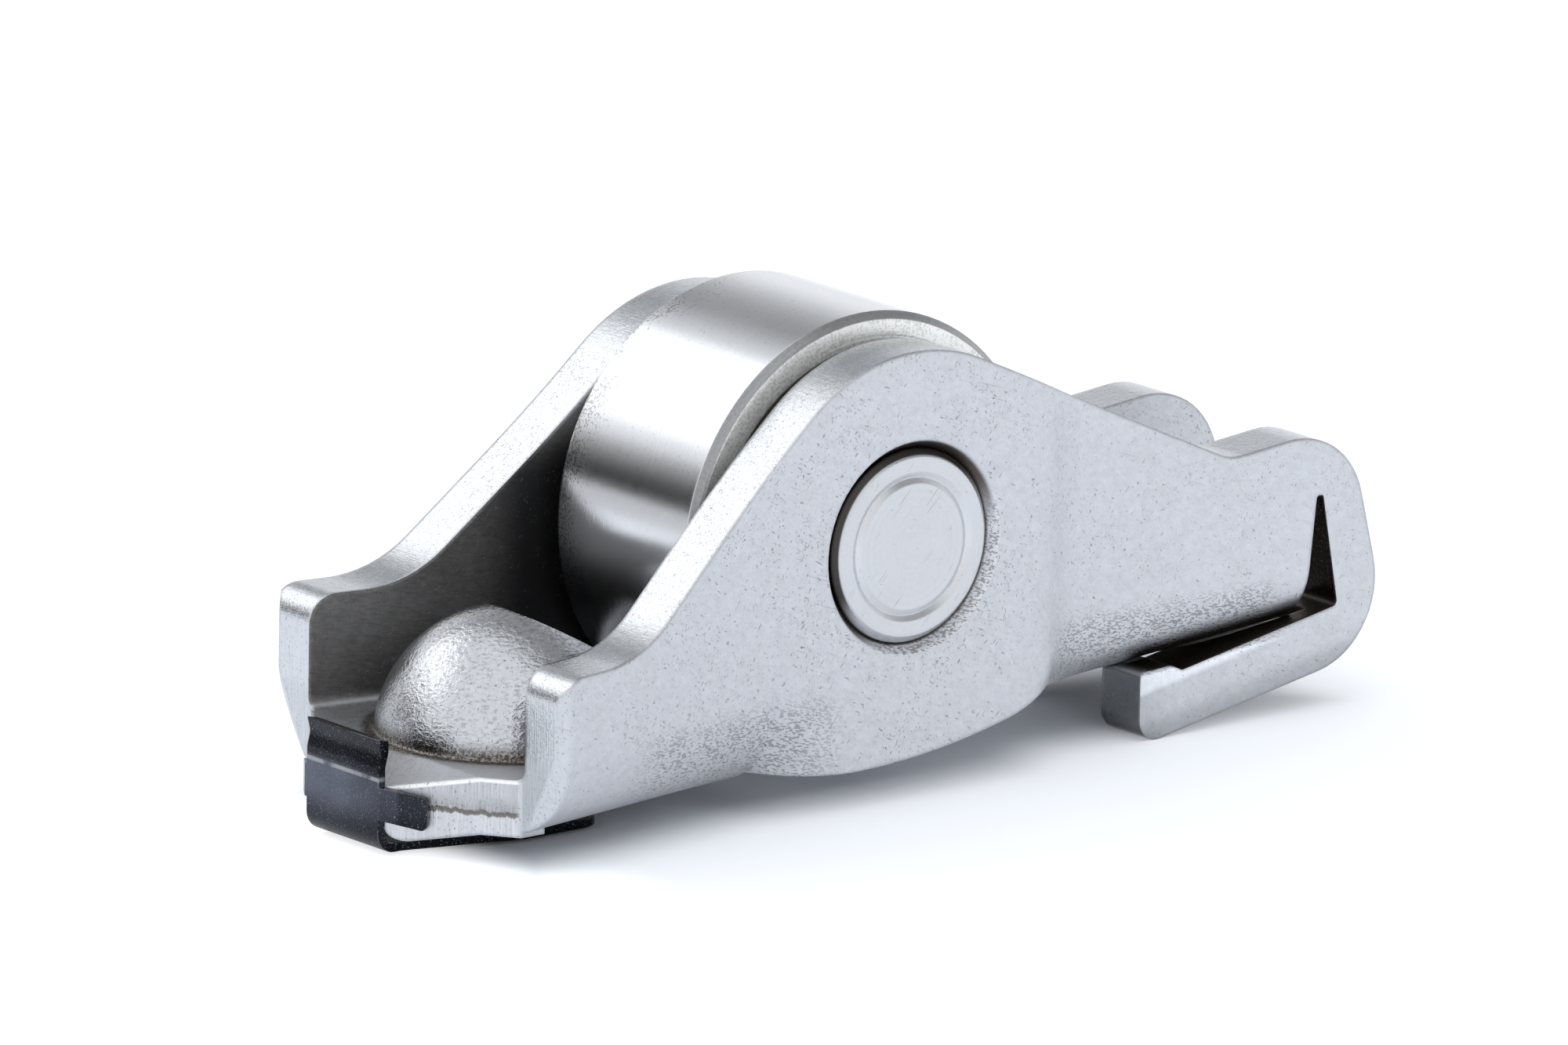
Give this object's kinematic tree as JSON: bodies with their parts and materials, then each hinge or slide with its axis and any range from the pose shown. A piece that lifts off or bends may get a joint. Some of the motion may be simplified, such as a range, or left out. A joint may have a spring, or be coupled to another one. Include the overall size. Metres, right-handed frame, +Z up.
{
  "type": "roller rocker arm",
  "caption": "Stamped steel finger rocker arm with a needle roller between its walls, a ball socket at one end, a valve pad with guide lugs at the other and a spring clip.",
  "frame": {"origin": "middle of the plane the part rests on, under the middle of its length and width", "axes": "+X along the arm from the pivot end to the valve end, +Y across it along the axle, +Z up towards the cam"},
  "size_m": [0.049, 0.019, 0.0196],
  "materials": {
    "arm_steel": "tumbled, case hardened sheet steel, matte light grey",
    "axle_steel": "ground steel with staked ends",
    "clip_steel": "blackened spring steel",
    "roller_steel": "ground bearing steel, satin bright",
    "needle_steel": "ground bearing steel, bright"
  },
  "bodies": {
    "lever": {"arm_body": "arm_steel", "axle_pin": "axle_steel", "retaining_clip": "clip_steel"},
    "roller": {"roller": "roller_steel"},
    "needle_set": {"needle_01": "needle_steel", "needle_02": "needle_steel", "needle_03": "needle_steel", "needle_04": "needle_steel", "needle_05": "needle_steel", "needle_06": "needle_steel", "needle_07": "needle_steel", "needle_08": "needle_steel", "needle_09": "needle_steel", "needle_10": "needle_steel", "needle_11": "needle_steel", "needle_12": "needle_steel", "needle_13": "needle_steel", "needle_14": "needle_steel", "needle_15": "needle_steel"}
  },
  "joints": [
    {"name": "roller_spin", "type": "hinge", "parent": "lever", "child": "roller", "pos_m": [-0.00137, 0, 0.01055], "axis": [0, 1, 0], "continuous": true},
    {"name": "needle_orbit", "type": "hinge", "parent": "lever", "child": "needle_set", "pos_m": [-0.00137, 0, 0.01055], "axis": [0, 1, 0], "continuous": true}
  ],
  "couplings": [
    {"joint": "needle_orbit", "follows": "roller_spin", "ratio": 0.60159}
  ]
}
